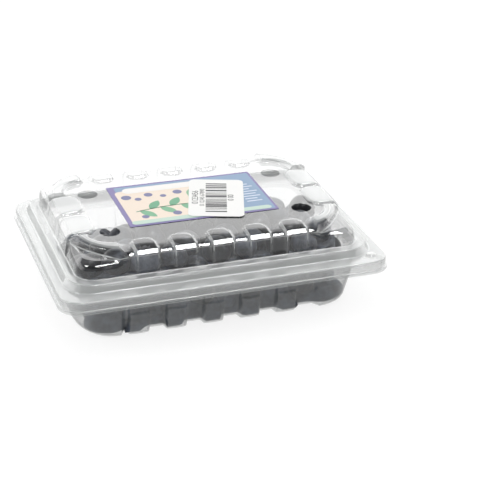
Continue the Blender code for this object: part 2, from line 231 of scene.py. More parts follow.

# %% [markdown]
# ## Clear drawn plastic
#
# The sheet is PET: clear, glossy and half a millimetre thick.  Bending rays through each wall
# would only add noise, because so thin a sheet hardly shifts what lies behind it.  So the
# surface lets rays straight through, dims them a little more at a slant, and mirrors more at a
# slant too.  A closed sheet is met twice, so only faces that look at the ray mirror, and they
# mirror for both.  Drawing leaves the sheet faintly wavy, about 9 mm from crest to crest.
# Sharp bends get a painted highlight: white haze along each bend, standing in for the light that the rounded bends
# gather.

# %% Clear plastic
def clear_sheet(name, body_tint, slant_tint, waviness, haze, bend_highlight_paint, roughness):
    made, tree, out = new_material(name)
    facing = add_node(tree, "ShaderNodeLayerWeight", {"Blend": 0.5}).outputs["Facing"]
    slant = add_node(tree, "ShaderNodeMath", {0: facing, 1: 5.0}, operation="POWER").outputs[0]
    tint = add_node(tree, "ShaderNodeMix", {"Factor": slant, "A": colour(body_tint), "B": colour(slant_tint)},
                    data_type="RGBA").outputs["Result"]
    clear = add_node(tree, "ShaderNodeBsdfTransparent", {"Color": tint}).outputs[0]
    haze_and_highlight_shader = add_node(tree, "ShaderNodeBsdfDiffuse", {"Color": colour("#d6d9d8")}).outputs[0]
    place = add_node(tree, "ShaderNodeTexCoord").outputs["Object"]
    wave = add_node(tree, "ShaderNodeTexNoise", {"Vector": place, "Scale": 1 / (9 * MM), "Detail": 2.0,
                                                 "Roughness": 0.4}).outputs[0]
    bump = add_node(tree, "ShaderNodeBump", {"Height": wave, "Strength": waviness, "Distance": 0.4 * MM})
    gloss = add_node(tree, "ShaderNodeBsdfGlossy", {"Color": colour("#ffffff"), "Roughness": roughness,
                                                    "Normal": bump.outputs[0]}).outputs[0]
    behind = add_node(tree, "ShaderNodeNewGeometry").outputs["Backfacing"]
    ahead = add_node(tree, "ShaderNodeMath", {0: 1.0, 1: behind}, operation="SUBTRACT").outputs[0]
    # painted highlight: the bend mask adds white haze along sharp bends, over the sheet's own real haze and
    # cloudiness
    bend = add_node(tree, "ShaderNodeAttribute", attribute_name="bend").outputs["Fac"]
    cloud = add_node(tree, "ShaderNodeAttribute", attribute_name="cloud").outputs["Fac"]
    haze_and_bend_highlight = add_node(tree, "ShaderNodeMath", {0: slant, 1: 0.35, 2: haze}, operation="MULTIPLY_ADD").outputs[0]
    haze_and_bend_highlight = add_node(tree, "ShaderNodeMath", {0: cloud, 1: 1.0, 2: haze_and_bend_highlight}, operation="MULTIPLY_ADD").outputs[0]
    # painted highlight line along bends, scaled by bend_highlight_paint
    haze_and_bend_highlight = add_node(tree, "ShaderNodeMath", {0: bend, 1: bend_highlight_paint, 2: haze_and_bend_highlight}, operation="MULTIPLY_ADD",
                    use_clamp=True).outputs[0]
    haze_and_bend_highlight = add_node(tree, "ShaderNodeMath", {0: haze_and_bend_highlight, 1: ahead}, operation="MULTIPLY").outputs[0]
    body = add_node(tree, "ShaderNodeMixShader", {0: haze_and_bend_highlight, 1: clear, 2: haze_and_highlight_shader}).outputs[0]
    steep = add_node(tree, "ShaderNodeMath", {0: facing, 1: 3.5}, operation="POWER").outputs[0]
    mirror = add_node(tree, "ShaderNodeMath", {0: steep, 1: 0.92, 2: 0.08}, operation="MULTIPLY_ADD").outputs[0]
    share = add_node(tree, "ShaderNodeMath", {0: mirror, 1: ahead}, operation="MULTIPLY").outputs[0]
    mix = add_node(tree, "ShaderNodeMixShader", {0: share, 1: body, 2: gloss})
    tree.links.new(mix.outputs[0], out.inputs["Surface"])
    return made


lid_plastic = clear_sheet("drawn_clear_pet_lid", "#fcfcfc", "#b4b6b5", 0.06, 0.02, 0.55, 0.05)
tray_plastic = clear_sheet("drawn_clear_pet_tray", "#fbfbfb", "#b0b2b1", 0.06, 0.15, 0.15, 0.14)

# %% [markdown]
# ## Outlines of the moulded sheet
#
# A drawn sheet is one surface that runs from the middle of the lid, over the ribs, down the
# wall and out to the flange.  Round the punnet its outline is described at many stations: on a
# straight side by the distance along it, and at a corner by how far round it is.  No primitive
# is near this shape, so a grid is laid out flat, one column for each station and one row for
# each step across the sheet, and its points are then drawn onto the mould.

# %% Stations round the punnet
FRONT, RIGHT, BACK, LEFT = range(4)
BODY_X, BODY_Y = -0.4, 0.8     # middle of the raised body
CORNER_STEPS = 14


def rib_stations(side, count, pitch, foot, crown, round_end, shift=0.0):
    """(side, distance, how much on a rib, how far the rib's inner end is tucked back)."""
    found = []
    for index in range(count):
        middle = (index - (count - 1) / 2) * pitch + shift
        half = [(foot + 0.8, 0.0, 1.0), (foot + 0.3, 0.0, 1.0)]
        half += [(foot + (crown - foot) * u, ease(u), 1.0) for u in (0.15, 0.38, 0.62, 0.85)]
        for u in (1.0, 0.86, 0.6, 0.3, 0.0):
            half.append((crown - round_end * (1.0 - u), 1.0, 1.0 - math.sqrt(1.0 - u * u)))
        half = [(offset, rib * (1.0 - 0.10 * (offset / crown) ** 2) if rib else 0.0, tuck)
                for offset, rib, tuck in half]
        found += [(side, middle - offset, rib, tuck) for offset, rib, tuck in half]
        found += [(side, middle, 1.0, 0.0)]
        found += [(side, middle + offset, rib, tuck) for offset, rib, tuck in reversed(half)]
    return found


def walk_round(corner_start, long_ribs, short_ribs, shift=0.0):
    """Where corners begin, and the stations of all four sides, anticlockwise."""
    walk = []
    for side in (FRONT, RIGHT, BACK, LEFT):
        if side in (FRONT, BACK):
            edge = corner_start[0] - 0.9
            ribs = rib_stations(side, *long_ribs, shift if side == FRONT else -shift)
            spare = [(side, where, 0.0, 1.0) for where in (-edge, edge)]
            walk += spare[:ribs[0][1] > -edge + 0.3] + ribs + spare[1:] * (ribs[-1][1] < edge - 0.3)
        else:
            walk += rib_stations(side, *short_ribs)
        walk += [(side, (step + 0.5) / CORNER_STEPS, None, 0.0) for step in range(CORNER_STEPS)]
    return corner_start, walk


# %% Corner outlines
def swept(power):
    """Corner that is swept back: power 1 cuts straight across, power 2 is a round quarter."""
    def place(turn, long_reach, deep_reach):
        across, up = math.cos(turn * math.pi / 2), math.sin(turn * math.pi / 2)
        size = ((across / long_reach) ** power + (up / deep_reach) ** power) ** (-1.0 / power)
        return across * size, up * size
    return place


def rounded(radius):
    """Square corner with a radius; the first and last eighth of the turn run straight."""
    def place(turn, long_reach, deep_reach):
        if turn < 0.125:
            return long_reach, (deep_reach - radius) * turn * 8.0
        if turn > 0.875:
            return (long_reach - radius) * (1.0 - turn) * 8.0, deep_reach
        angle = (turn - 0.125) / 0.75 * math.pi / 2
        return (long_reach + radius * (math.cos(angle) - 1.0), deep_reach + radius * (math.sin(angle) - 1.0))
    return place


# %% One row of points
def outline(layout, reach, height, corner, rib_out=0.0, rib_up=0.0, tuck=0.0):
    """One closed row round the punnet.

    reach is how far front, right, back and left lie from the body's middle.  corner holds
    (set back along X, along Y, outline, height) for the front corners and for the back ones.
    """
    (start_long, start_deep), walk = layout
    row = []
    for side, where, rib, tucked in walk:
        if rib is None:
            at_front, at_right = side in (FRONT, LEFT), side in (FRONT, RIGHT)
            set_long, set_deep, shape, rise = corner[0 if at_front else -1]
            turn = 1.0 - where if side in (FRONT, BACK) else where
            across, up = shape(turn, reach[RIGHT if at_right else LEFT] - set_long - start_long,
                               reach[FRONT if at_front else BACK] - set_deep - start_deep)
            x = (start_long + across) * (1 if at_right else -1)
            y = (start_deep + up) * (-1 if at_front else 1)
        else:
            out = reach[side] + rib_out * rib + tuck * tucked
            rise = height + rib_up * rib
            x, y = {FRONT: (where, -out), RIGHT: (out, where),
                    BACK: (-where, out), LEFT: (-out, -where)}[side]
        row.append(Vector((BODY_X + x, BODY_Y + y, rise)))
    return row


def even(long_reach, deep_reach):
    return deep_reach, long_reach, deep_reach, long_reach


def flange(inset):
    """Reach of the flange's outline from the body's middle."""
    return 53.4 + BODY_Y - inset, 70.9 - BODY_X - inset, 51.3 - BODY_Y - inset, 70.9 + BODY_X - inset


def level(shape, height, inset=0.0):
    return ((inset, inset, shape, height),)


# %% Rounding the bends
def soften(rows, radii):
    """Replaces each bend across the sheet by a small round one, so that edges catch the light."""
    softened = []
    for path in zip(*rows):
        points = [path[0]]
        for before, bend, after, radius in zip(path, path[1:], path[2:], radii):
            back, on = before - bend, after - bend
            start = bend + back.normalized() * min(radius, 0.45 * back.length)
            end = bend + on.normalized() * min(radius, 0.45 * on.length)
            if start - points[-1] and (start - points[-1]).length > 0.5:
                points.append(start + (points[-1] - start).normalized() * 0.22)
            else:
                points.append((start + points[-1]) / 2)
            points += [start.lerp(bend, t).lerp(bend.lerp(end, t), t) for t in (0.0, 0.3, 0.7, 1.0)]
            points.append(end + (after - end).normalized() * min(0.22, 0.1 * (after - end).length))
        softened.append(points + [path[-1]])
    return list(zip(*softened))


# %% How sharply the sheet bends: the mask of the painted bend highlights
def mark_bends(sheet, least=0.5, most=2.0):
    """Stores how sharply the sheet bends at each point, from 0, flat, to 1, in radians per mm; it is the mask of the
    painted highlight lines along bends, weaker low down.
    """
    mesh = sheet.data
    normals = [vertex.normal.copy() for vertex in mesh.vertices]
    bend = [0.0] * len(mesh.vertices)
    for edge in mesh.edges:
        a, b = edge.vertices
        length = (mesh.vertices[a].co - mesh.vertices[b].co).length / MM
        if length > 0.02:
            rate = normals[a].angle(normals[b], 0.0) / length
            bend[a], bend[b] = max(bend[a], rate), max(bend[b], rate)
    # the painted highlight lines fade to 0.4 of their strength below about 33 mm
    high = [0.4 + 0.6 * ease((vertex.co.z / MM - 33.0) / 1.5) for vertex in mesh.vertices]
    marks = mesh.attributes.new("bend", "FLOAT", "POINT")
    marks.data.foreach_set("value", [ease((rate - least) / (most - least)) * h for rate, h in zip(bend, high)])
    print(sheet.name, "share of points on a bend:", round(sum(r > most for r in bend) / len(bend), 2))


def mark_cloud(sheet):
    """The sheet stays thicker, so a little cloudier, on the lip and on the ridges round the corners."""
    values = []
    for vertex in sheet.data.vertices:
        x, y, z = (v / MM for v in vertex.co)
        lip = ease((28.2 - z) / 0.4) * (0.45 + 0.55 * ease((z - 22.6) / 0.5))
        ridge = ease((z - 37.4) / 0.4) * ease((abs(x - BODY_X) - 40.5) / 1.5)
        values.append(0.36 * lip * (z > 19.0) + 0.42 * ridge)
    marks = sheet.data.attributes.new("cloud", "FLOAT", "POINT")
    marks.data.foreach_set("value", values)


# %% Drawing a sheet onto its mould
def drawn_sheet(name, rows, thickness, faces_up):
    """A grid, laid on the rows, joined at its seam, closed in the middle and made solid."""
    columns = len(rows[0])
    deselect()
    bpy.ops.mesh.primitive_grid_add(x_subdivisions=columns, y_subdivisions=len(rows) - 1, size=1.0)
    sheet = bpy.context.object
    sheet.name = sheet.data.name = name
    places = [row[index % columns] * MM for row in rows for index in range(columns + 1)]
    for vertex, place in zip(sheet.data.vertices, places):
        vertex.co = place
    bpy.ops.object.mode_set(mode="EDIT")
    bpy.ops.mesh.select_all(action="DESELECT")
    bpy.ops.object.mode_set(mode="OBJECT")
    for index in range(columns + 1):
        sheet.data.vertices[index].select = True
    bpy.ops.object.mode_set(mode="EDIT")
    bpy.ops.mesh.select_mode(type="VERT")
    bpy.ops.mesh.edge_face_add()
    bpy.ops.mesh.select_all(action="SELECT")
    bpy.ops.mesh.remove_doubles(threshold=0.002 * MM)
    bpy.ops.object.mode_set(mode="OBJECT")
    middle = max(sheet.data.polygons, key=lambda face: len(face.vertices))
    if (middle.normal.z > 0.0) != faces_up:      # the wall's thickness must grow inwards
        bpy.ops.object.mode_set(mode="EDIT")
        bpy.ops.mesh.flip_normals()
        bpy.ops.object.mode_set(mode="OBJECT")
    mark_bends(sheet)
    mark_cloud(sheet)
    wall = sheet.modifiers.new("wall", "SOLIDIFY")
    wall.thickness = thickness * MM
    wall.offset = -1.0
    apply_modifiers(sheet)
    return sheet


# %% [markdown]
# ## The lid
#
# Rows from the flat top outwards: the inner ends of the ribs, their tops, the bevel along
# their outer edge, the crescent step round each corner, the wall, the narrow ledge of the
# rim, its slope, the lip, the skirt and the flange.

# %% Rows of the lid
PANEL_Z, RIB_Z, STEP_Z, LEDGE_Z, LIP_Z, JOIN_Z = 37.2, 38.4, 35.4, 27.8, 24.6, 20.05
FRONT_RIDGE_Z, BACK_RIDGE_Z = 38.0, 39.2
RIB_RISE = RIB_Z - PANEL_Z


def lid_rows():
    walk = walk_round((41.8, 19.6), (5, 16.0, 5.5, 4.3, 2.6), (2, 19.7, 8.8, 7.8, 3.2))
    lid_edge = JOIN_Z + 0.65
    rows = [
        outline(walk, even(42.0, 25.0), PANEL_Z, ((-2.0, -1.0, swept(2.0), PANEL_Z),)),
        outline(walk, even(47.0, 29.5), PANEL_Z,
                ((-4.4, -0.1, swept(2.0), PANEL_Z), (-5.2, -1.0, swept(2.0), PANEL_Z)), tuck=2.4),
        outline(walk, even(48.1, 30.6), PANEL_Z,
                ((-4.4, -0.1, swept(2.0), FRONT_RIDGE_Z), (-5.2, -1.0, swept(2.0), BACK_RIDGE_Z)),
                rib_up=RIB_RISE, tuck=2.4),
        outline(walk, even(53.5, 35.2), PANEL_Z,
                ((-0.2, 2.4, swept(1.85), FRONT_RIDGE_Z), (-2.4, -0.5, swept(1.8), BACK_RIDGE_Z)),
                rib_up=RIB_RISE),
        outline(walk, even(57.6, 38.9), PANEL_Z - 0.35,
                ((2.8, 3.8, swept(1.7), FRONT_RIDGE_Z), (0.4, 0.0, swept(1.6), BACK_RIDGE_Z)),
                rib_out=0.4, rib_up=1.0),
        outline(walk, even(59.0, 40.3), PANEL_Z - 1.6,
                ((2.2, 3.0, swept(1.65), FRONT_RIDGE_Z - 0.9), (-0.4, -0.8, swept(1.6), BACK_RIDGE_Z - 1.1)),
                rib_out=1.2, rib_up=0.3),
        outline(walk, even(59.0, 40.3), STEP_Z - 0.2,
                ((0.3, 0.3, swept(1.27), STEP_Z - 0.9), (-0.6, -0.6, swept(1.6), STEP_Z)), rib_out=1.2),
        outline(walk, even(59.0, 40.3), STEP_Z - 0.5,
                ((1.4, 1.4, rounded(6.0), STEP_Z - 1.1), (0.6, 0.6, rounded(6.4), STEP_Z - 0.1)), rib_out=1.2),
        outline(walk, even(59.1, 40.4), STEP_Z - 1.4,
                ((-0.8, -0.8, rounded(7.5), STEP_Z - 2.8), (-0.8, -0.8, rounded(7.5), STEP_Z - 0.9)), rib_out=1.15),
        outline(walk, even(60.3, 41.3), LEDGE_Z + 1.4, level(rounded(7.8), LEDGE_Z + 1.4, -0.3), rib_out=0.6),
        outline(walk, even(60.7, 41.9), LEDGE_Z, level(rounded(8.0), LEDGE_Z)),
        outline(walk, even(64.2, 45.4), LEDGE_Z - 0.1, level(rounded(9.8), LEDGE_Z - 0.1)),
        outline(walk, even(66.1, 47.2), LIP_Z, level(rounded(11.0), LIP_Z)),
        outline(walk, flange(0.9), LIP_Z, level(rounded(8.6), LIP_Z)),
        outline(walk, flange(0.8), lid_edge, level(rounded(8.8), lid_edge)),
        outline(walk, flange(0.0), lid_edge, level(rounded(9.6), lid_edge)),
    ]
    return soften(rows, (0.5, 0.5, 1.6, 0.6, 0.5, 0.4, 1.2, 1.4, 0.6, 0.4, 0.3, 0.4, 0.5, 0.3))


lid = drawn_sheet("lid_sheet", lid_rows(), 0.45, faces_up=True)
print("lid sheet:", len(lid.data.polygons), "faces")


# %% [markdown]
# Four round vents are punched through the flat top, and one press button stands on the lip.

# %% Vents and button
def pin(radius, height, position, sides=40):
    deselect()
    bpy.ops.mesh.primitive_cylinder_add(vertices=sides, radius=radius * MM, depth=height * MM,
                                        location=Vector(position) * MM)
    bpy.ops.object.transform_apply(location=True, rotation=True, scale=True)
    return bpy.context.object


def boolean(thing, tool, operation):
    step = thing.modifiers.new(operation.lower(), "BOOLEAN")
    step.operation = operation
    step.object = tool
    apply_modifiers(thing)
    bpy.data.objects.remove(tool, do_unlink=True)


pins = [pin(4.3, 4.0, (BODY_X + sx * 42.1, BODY_Y + sy * 19.3, PANEL_Z)) for sx in (-1, 1) for sy in (-1, 1)]
choose(*pins)
bpy.ops.object.join()
boolean(lid, bpy.context.object, "DIFFERENCE")

button = pin(2.2, 1.1, (62.8, -46.4, LIP_Z + 0.3), 32)
rounding = button.modifiers.new("round", "BEVEL")
rounding.width = 0.45 * MM
rounding.segments = 3
apply_modifiers(button)
boolean(lid, button, "UNION")
choose(lid)
bpy.ops.object.shade_smooth_by_angle(angle=math.radians(40))
lid.data.materials.clear()
lid.data.materials.append(lid_plastic)
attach(lid, "lid")
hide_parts("lid")

# %% [markdown]
# ## The tray
#
# The lower half is drawn the same way, from its floor outwards and up: a round bend into the
# wall, ribs whose lower half stands a little proud and forms feet, the bead that the lid's
# rim sits over, its lip and its flange.

# %% Rows of the tray
def tray_rows():
    walk = walk_round((42.4, 18.0), (5, 16.0, 4.9, 3.9, 1.2), (2, 19.7, 7.2, 6.0, 1.2), -4.0)
    edge, bead, lip = JOIN_Z - 0.65, LEDGE_Z - 1.6, LIP_Z - 1.6
    rows = [
        outline(walk, even(50.0, 33.0), 0.0, level(swept(2.5), 0.0, -3.0), rib_out=3.0),
        outline(walk, even(54.6, 37.4), 0.0, level(swept(2.5), 0.0, -3.2), rib_out=3.6),
        outline(walk, even(56.0, 38.6), 1.6, level(swept(2.6), 1.8, -4.0), rib_out=4.0),
        outline(walk, even(58.6, 40.4), 10.2, level(swept(3.2), 10.2, -2.6), rib_out=2.6),
        outline(walk, even(58.8, 40.6), 10.9, level(swept(3.2), 10.9, -2.6), rib_out=1.7),
        outline(walk, even(61.0, 42.3), 18.0, level(swept(4.5), 18.0, -0.8), rib_out=0.9),
        outline(walk, even(61.8, 43.3), bead, level(rounded(8.2), bead)),
        outline(walk, even(63.0, 44.4), bead, level(rounded(9.0), bead)),
        outline(walk, even(65.2, 46.4), lip, level(rounded(10.6), lip)),
        outline(walk, flange(2.7), lip, level(rounded(7.0), lip)),
        outline(walk, flange(2.5), edge, level(rounded(7.2), edge)),
        outline(walk, flange(0.0), edge, level(rounded(9.6), edge)),
    ]
    return soften(rows, (0.9, 1.2, 0.5, 0.5, 1.5, 0.5, 0.5, 0.7, 0.6, 0.5))


tray = drawn_sheet("tray_sheet", tray_rows(), 0.45, faces_up=False)
choose(tray)
bpy.ops.object.shade_smooth_by_angle(angle=math.radians(40))
tray.data.materials.append(tray_plastic)
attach(tray, "tray")
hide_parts("tray")
print("tray sheet:", len(tray.data.polygons), "faces")

# %% [markdown]
# ## The hinge
#
# The two halves are one piece of plastic, folded along the back.  The fold is a narrow rolled
# strip: a cylinder, opened along its front and given the thickness of the sheet.

# %% Hinge fold
low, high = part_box("hinge_fold")
middle, radius = (low + high) / 2, (high.z - low.z) / 2
deselect()
bpy.ops.mesh.primitive_cylinder_add(vertices=32, radius=radius, depth=high.x - low.x, end_fill_type="NOTHING",
                                    location=middle, rotation=(0.0, math.pi / 2, 0.0))
fold = bpy.context.object
fold.name = fold.data.name = "hinge_strip"
bpy.ops.object.transform_apply(location=True, rotation=True, scale=True)
bpy.ops.object.mode_set(mode="EDIT")
bpy.ops.mesh.select_all(action="DESELECT")
bpy.ops.object.mode_set(mode="OBJECT")
for face in fold.data.polygons:
    face.select = face.normal.y < -0.75
bpy.ops.object.mode_set(mode="EDIT")
bpy.ops.mesh.delete(type="FACE")
bpy.ops.object.mode_set(mode="OBJECT")
wall = fold.modifiers.new("wall", "SOLIDIFY")
wall.thickness = 0.35 * MM
wall.offset = -1.0
apply_modifiers(fold)
bpy.ops.object.shade_smooth_by_angle(angle=math.radians(40))
fold.data.materials.append(tray_plastic)
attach(fold, "tray")
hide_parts("hinge_fold")

# %% [markdown]
# ## Blueberry skin
#
# The skin is nearly black with a blue cast, under a dusty wax called bloom that rubs off in
# patches.  The bloom scatters light softly, and bare skin shines a little.  The calyx, the
# small crown at the top, is dry and brownish.  Each berry carries its own amount of bloom.

# %% Berry materials
def berry_skin():
    made, tree, out = new_material("blueberry_skin_with_bloom")
    place = add_node(tree, "ShaderNodeTexCoord").outputs["Object"]
    patch = add_node(tree, "ShaderNodeTexNoise", {"Vector": place, "Scale": 1 / (5 * MM), "Detail": 3.0,
                                                  "Roughness": 0.55}).outputs[0]
    speck = add_node(tree, "ShaderNodeTexNoise", {"Vector": place, "Scale": 1 / (0.9 * MM),
                                                  "Detail": 2.0}).outputs[0]
    own = add_node(tree, "ShaderNodeAttribute", attribute_name="bloom").outputs["Fac"]
    total = add_node(tree, "ShaderNodeMath", {0: patch, 1: own}, operation="ADD").outputs[0]
    total = add_node(tree, "ShaderNodeMath", {0: speck, 1: 0.35, 2: total}, operation="MULTIPLY_ADD").outputs[0]
    wax = add_node(tree, "ShaderNodeMapRange", {"Value": total, "From Min": 0.75, "From Max": 1.35},
                   interpolation_type="SMOOTHSTEP").outputs[0]
    tint = add_node(tree, "ShaderNodeMix", {"Factor": wax, "A": colour("#14161d"), "B": colour("#59616f")},
                    data_type="RGBA").outputs["Result"]
    rough = add_node(tree, "ShaderNodeMapRange", {"Value": wax, "To Min": 0.32, "To Max": 0.62}).outputs[0]
    bump = add_node(tree, "ShaderNodeBump", {"Height": speck, "Strength": 0.12, "Distance": 0.1 * MM}).outputs[0]
    skin = add_node(tree, "ShaderNodeBsdfPrincipled", {"Base Color": tint, "Roughness": rough, "Normal": bump,
                                                       "IOR": 1.42, "Sheen Weight": 0.15,
                                                       "Sheen Roughness": 0.5})
    tree.links.new(skin.outputs[0], out.inputs["Surface"])
    return made


def calyx_skin():
    made, tree, out = new_material("dry_blueberry_calyx")
    place = add_node(tree, "ShaderNodeTexCoord").outputs["Object"]
    mottle = add_node(tree, "ShaderNodeTexNoise", {"Vector": place, "Scale": 1 / (1.2 * MM),
                                                   "Detail": 3.0}).outputs[0]
    tint = add_node(tree, "ShaderNodeMix", {"Factor": mottle, "A": colour("#1c191c"), "B": colour("#6b6a70")},
                    data_type="RGBA").outputs["Result"]
    skin = add_node(tree, "ShaderNodeBsdfPrincipled", {"Base Color": tint, "Roughness": 0.75})
    tree.links.new(skin.outputs[0], out.inputs["Surface"])
    return made


skin, calyx = berry_skin(), calyx_skin()

# %% [markdown]
# ## One berry
#
# A sphere's rings are drawn onto a blueberry's section: a shallow crater inside a crown of five
# short lobes, a squat round body and a small stem scar underneath.

# %% Model one berry
BERRY_SECTION = [   # (radius, height) of each ring, for a berry one unit in radius, from the top
    (0.00, 0.66), (0.10, 0.66), (0.20, 0.68), (0.26, 0.74), (0.34, 0.90), (0.38, 0.90), (0.36, 0.80),
    (0.46, 0.775), (0.60, 0.69), (0.75, 0.55), (0.88, 0.36), (0.97, 0.14), (1.00, -0.08), (0.96, -0.30),
    (0.86, -0.50), (0.70, -0.66), (0.50, -0.77), (0.30, -0.82), (0.15, -0.83), (0.07, -0.80), (0.00, -0.79)]
CROWN_RINGS = 6


def model_berry():
    deselect()
    rings = len(BERRY_SECTION) - 1
    bpy.ops.mesh.primitive_uv_sphere_add(segments=30, ring_count=rings, radius=1.0)
    berry = bpy.context.object
    berry.name = "one_berry"
    for vertex in berry.data.vertices:
        ring = round(math.acos(max(-1.0, min(1.0, vertex.co.z))) / math.pi * rings)
        angle = math.atan2(vertex.co.y, vertex.co.x)
        reach, height = BERRY_SECTION[ring]
        if 3 <= ring <= 5:
            lobe = 0.5 + 0.5 * math.cos(5.0 * angle)
            lift = {3: 0.0, 4: 1.0, 5: 1.0}[ring]
            reach *= 0.92 + 0.22 * lobe * lift
            height -= 0.09 * (1.0 - lobe) * lift
        vertex.co = (reach * math.cos(angle), reach * math.sin(angle), height)
    berry.data.materials.append(skin)
    berry.data.materials.append(calyx)
    for face in berry.data.polygons:
        face.material_index = 1 if face.center.z > 0.6 and math.hypot(face.center.x, face.center.y) < 0.40 else 0
    bpy.ops.object.shade_smooth_by_angle(angle=math.radians(60))
    return berry


one_berry = model_berry()

# %% [markdown]
# ## Filling the punnet
#
# Berries are poured, not placed.  Round bodies of 12 to 15 mm sink under a gravity that leans
# to the front, because the pack was tipped that way, and push each other apart until they
# rest inside the tray and under the lid.

# %% Pour the berries
SPACE = np.array([   # height, half length, half depth and squareness of the room inside the tray
    (0.8, 54.2, 37.0, 5.5), (2.6, 55.6, 38.2, 6.0), (10.0, 57.8, 39.6, 6.5), (18.0, 60.0, 41.2, 6.5),
    (26.0, 59.6, 40.8, 6.5), (30.0, 58.4, 39.4, 5.5), (36.0, 57.2, 38.4, 3.6)])
COUNT = 145
DOWN = np.array((-0.05, -0.40, -0.91))


def heap_top(x, y):
    """How high the heap reaches: full in front, sunk at the back and at both ends."""
    def smooth(value):
        held = np.clip(value, 0.0, 1.0)
        return held * held * (3.0 - 2.0 * held)
    top = 35.6 - np.clip(0.5 * (y + 5.0 - 0.2 * x), 0.0, 22.0) - 9.0 * smooth((x - 47) / 9)
    left_end = 2.5 * smooth((-x - 46) / 8)
    corner = (np.abs(x) / 55) ** 4 + (np.abs(y) / 37) ** 4 > 1.0
    under_vent = np.exp(-((x + 42) ** 2 + (y + 19) ** 2) / 60.0)
    return top - left_end - 1.2 * corner - 5.0 * under_vent


def inside_walls(place, reach, height):
    """Moves centres inwards until a ball of that reach clears the wall at that height."""
    a, b, p = (np.interp(height, SPACE[:, 0], SPACE[:, k]) for k in (1, 2, 3))
    x, y = place[:, 0], place[:, 1]
    u, v = np.maximum(np.abs(x) / a, 1e-6), np.maximum(np.abs(y) / b, 1e-6)
    size = (u ** p + v ** p) ** (1.0 / p)
    slope = np.stack((np.sign(x) * (u / size) ** (p - 1) / a, np.sign(y) * (v / size) ** (p - 1) / b), axis=1)
    steep = np.linalg.norm(slope, axis=1)
    short = np.maximum(reach - (1.0 - size) / steep, 0.0)
    place[:, :2] -= slope / steep[:, None] * short[:, None]


def pour(count, seed):
    """Centres, relative to the body's middle, and radii of the berries once they have settled."""
    chance = np.random.default_rng(seed)
    radius = np.clip(chance.normal(6.3, 0.40, count), 5.5, 7.4)
    place = np.stack((chance.uniform(-50, 50, count), chance.uniform(-33, 33, count),
                      chance.uniform(7, 32, count)), axis=1)
    touch = (radius[:, None] + radius[None, :]) * 0.985
    for step in range(700):
        place += DOWN * (0.35 if step < 450 else 0.06)
        for _ in range(3):
            apart = place[:, None, :] - place[None, :, :]
            gap = np.linalg.norm(apart, axis=2) + np.eye(count) * 1e3
            push = np.maximum(touch - gap, 0.0) * 0.42
            place += (apart / gap[:, :, None] * push[:, :, None]).sum(axis=1)
            for share in (-0.7, 0.0, 0.7):
                inside_walls(place, radius * math.sqrt(1.0 - share * share), place[:, 2] + radius * share)
            place[:, 2] = np.clip(place[:, 2], 0.9 + radius, heap_top(place[:, 0], place[:, 1]) - radius)
    overlap = np.maximum(touch - (np.linalg.norm(place[:, None] - place[None], axis=2) + np.eye(count) * 1e3), 0)
    print("berries poured:", count, "deepest squeeze in mm:", round(float(overlap.max()), 2))
    return place, radius


centres, radii = pour(COUNT, 7)


# %% [markdown]
# Each berry is a copy with its own mesh, turned at random, and all are joined into one piece.

# %% Place the berries
def place_berries():
    chance = np.random.default_rng(11)
    copies = []
    for centre, radius in zip(centres, radii):
        berry = one_berry.copy()
        berry.data = one_berry.data.copy()
        bpy.context.scene.collection.objects.link(berry)
        turn = Matrix.Rotation(chance.uniform(0, 2 * math.pi), 4, "Z")
        lean = Matrix.Rotation(math.acos(chance.uniform(-1, 1)), 4, "X")
        spin = Matrix.Rotation(chance.uniform(0, 2 * math.pi), 4, "Z")
        squat = Matrix.Diagonal((1.0, chance.uniform(0.95, 1.0), chance.uniform(0.95, 1.03), 1.0))
        spot = Matrix.Translation(Vector((centre[0] + BODY_X, centre[1] + BODY_Y, centre[2])) * MM)
        berry.matrix_world = spot @ turn @ lean @ spin @ squat @ Matrix.Scale(radius * MM, 4)
        bloom = berry.data.attributes.new("bloom", "FLOAT", "POINT")
        bloom.data.foreach_set("value", [chance.uniform(0.0, 0.5)] * len(berry.data.vertices))
        copies.append(berry)
    choose(*copies)
    bpy.ops.object.transform_apply(location=True, rotation=True, scale=True)
    bpy.ops.object.join()
    return bpy.context.object


berries = place_berries()
berries.name = berries.data.name = "blueberries"
bpy.data.objects.remove(one_berry, do_unlink=True)
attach(berries, "tray")
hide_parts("berries")
print("berries:", len(berries.data.polygons), "faces")

# %% [markdown]
# ## The middle of the heap
#
# No light reaches the middle of the heap.  A smaller dark core with the berries' skin fills it
# as painted shade, standing in for the shaded gaps, so that nothing bright shows between the berries.

# %% Core of painted shade in the heap
def rib_bulge(x, y):
    """How far the fruit sinks into the tray's ribs beside this point, from 0 to 1."""
    along, first, pitch, half = (x, -36.0, 16.0, 4.3) if abs(y) / 37 > abs(x) / 54 else (y, -9.85, 19.7, 6.4)
    last = 28.0 if first == -36.0 else 9.85
    middle = min(max(round((along - first) / pitch), 0), round((last - first) / pitch)) * pitch + first
    return ease((half - abs(along - middle)) / 1.2)


def under_berries(x, y):
    """A height a little under the middles of the uppermost berries round this point."""
    away = np.hypot(centres[:, 0] - x, centres[:, 1] - y)
    highest = centres[away < max(9.0, float(away.min()) + 0.1), 2].max()
    share = np.exp(-(away / 6.0) ** 2) * (centres[:, 2] > highest - 5.0)
    return float((share * centres[:, 2]).sum() / share.sum()) - 3.0


